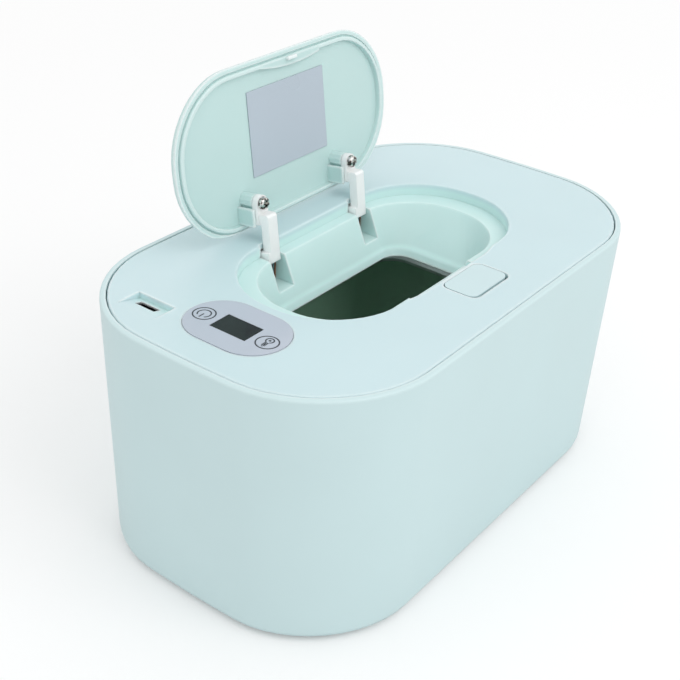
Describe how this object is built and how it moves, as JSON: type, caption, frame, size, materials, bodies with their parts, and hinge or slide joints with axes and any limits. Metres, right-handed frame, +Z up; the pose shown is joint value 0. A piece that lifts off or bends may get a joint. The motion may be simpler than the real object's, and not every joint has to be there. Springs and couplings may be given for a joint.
{
  "type": "baby wipe warmer",
  "caption": "Baby wipe warmer: a rounded plastic bin with an inner tub, a heated lift-off cover with touch controls, and a spring-opened lid on arms, let go by a rocking front button.",
  "frame": {"origin": "centre of the footprint on the table, at the underside of the feet", "axes": "+X along the long side, away from the control panel; -Y towards the release button and front; +Y towards the hinge; +Z up"},
  "size_m": [0.2, 0.1206, 0.1529],
  "materials": {
    "mint_shell": "satin moulded ABS",
    "mint_cover": "satin moulded ABS",
    "green_tub": "satin moulded polypropylene",
    "rubber_foot": "matt",
    "grey_tray": "satin moulded ABS",
    "aluminium_plate": "rolled sheet",
    "heater_film": "smooth polyimide film",
    "fuse_ceramic": "glazed",
    "sensor_epoxy": "dipped epoxy",
    "circuit_board": "solder mask",
    "display_black": "moulded",
    "display_dark": "polished acrylic",
    "panel_lavender": "back-printed polycarbonate",
    "socket_steel": "tin-plated",
    "steel": "zinc-plated",
    "spring_copper": "copper-plated spring wire",
    "white_arm": "smooth moulded acetal",
    "mint_button": "satin moulded ABS",
    "mint_lid": "satin moulded ABS",
    "sticker": "coated paper film"
  },
  "bodies": {
    "base": {"outer_shell": "mint_shell", "inner_tub": "green_tub", "foot_front_left": "rubber_foot", "foot_front_right": "rubber_foot", "foot_back_left": "rubber_foot", "foot_back_right": "rubber_foot"},
    "cover": {"deck_cover": "mint_cover", "under_tray": "grey_tray", "heater_plate": "aluminium_plate", "heater_film": "heater_film", "thermal_fuse": "fuse_ceramic", "temperature_sensor": "sensor_epoxy", "tray_screw_1": "steel", "tray_screw_2": "steel", "tray_screw_3": "steel", "tray_screw_4": "steel", "tray_screw_5": "steel", "tray_screw_6": "steel", "control_board": "circuit_board", "display_module": "display_black", "display_window": "display_dark", "control_panel": "panel_lavender", "usb_socket": "socket_steel", "touch_spring_power": "steel", "touch_spring_heat": "steel", "board_screw_1": "steel", "board_screw_2": "steel", "hinge_pin_left": "steel", "hinge_pin_right": "steel", "torsion_spring_left": "spring_copper", "torsion_spring_right": "spring_copper", "button_pin": "steel", "button_spring": "steel"},
    "lid": {"flip_lid": "mint_lid", "hinge_arm_left": "white_arm", "hinge_arm_right": "white_arm", "arm_screw_left": "steel", "arm_screw_right": "steel", "lid_sticker": "sticker"},
    "button": {"release_button": "mint_button"}
  },
  "joints": [
    {"name": "cover_lift", "type": "slide", "parent": "base", "child": "cover", "axis": [0, 0, 1], "range_m": [0, 0.12]},
    {"name": "lid_hinge", "type": "hinge", "parent": "cover", "child": "lid", "pos_m": [0.0015, 0.0365, 0.089], "axis": [1, 0, 0], "range_deg": [0, 97.4], "stiffness_Nm_per_rad": 0.005, "springref_deg": -20.05, "deforming": ["torsion_spring_left", "torsion_spring_right"]},
    {"name": "button_rock", "type": "hinge", "parent": "cover", "child": "button", "pos_m": [0.0016, -0.03, 0.0836], "axis": [1, 0, 0], "range_deg": [0, 4.5], "stiffness_Nm_per_rad": 0.04, "springref_deg": -5.73, "deforming": ["button_spring"]}
  ]
}
